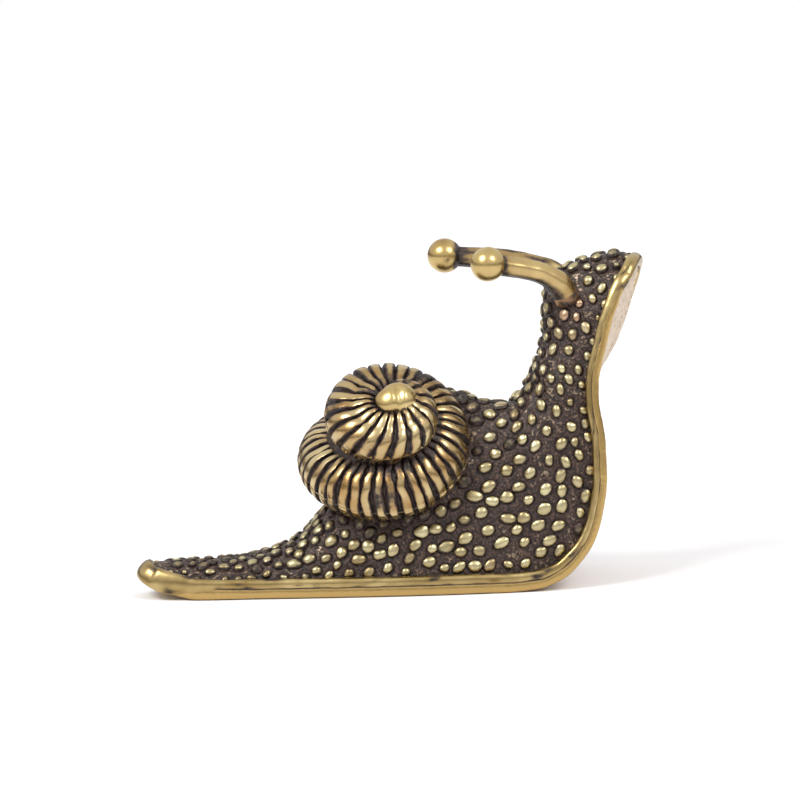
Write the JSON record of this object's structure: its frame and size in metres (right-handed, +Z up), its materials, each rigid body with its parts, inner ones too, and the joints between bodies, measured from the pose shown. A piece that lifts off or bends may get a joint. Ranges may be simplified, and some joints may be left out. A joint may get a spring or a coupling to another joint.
{
  "type": "snail figurine",
  "caption": "Small brass snail ornament climbing with its head up: beaded body on a flat foot with a raised rim, ribbed spiral shell on its right side, eye stalks pointing back.",
  "frame": {"origin": "on the flat resting face of the foot, under the middle of the snail's length", "axes": "+X from the tail to the head, +Z up, -Y to the snail's right, the side that the shell leans to"},
  "size_m": [0.0391, 0.0135, 0.026],
  "materials": {
    "patinated_brass": "cast brass with a dark purplish brown patina between beads polished pale",
    "foot_brass": "rubbed cast brass, matt and pitted as cast under the head",
    "shell_brass": "cast brass, ribs polished, grooves left dark",
    "polished_brass": "polished brass",
    "stalk_brass": "hand-filed brass rod, slightly toned",
    "braze_metal": "copper-pink brazing metal"
  },
  "bodies": {
    "root": {"body_casting": "patinated_brass", "sole_plate": "foot_brass", "foot_rim": "foot_brass", "shell_casting": "shell_brass", "shell_pin": "polished_brass", "right_eye_stalk": "stalk_brass", "left_eye_stalk": "stalk_brass", "right_eye_ball": "polished_brass", "left_eye_ball": "polished_brass", "right_braze_fillet": "braze_metal", "left_braze_fillet": "braze_metal"}
  },
  "joints": []
}
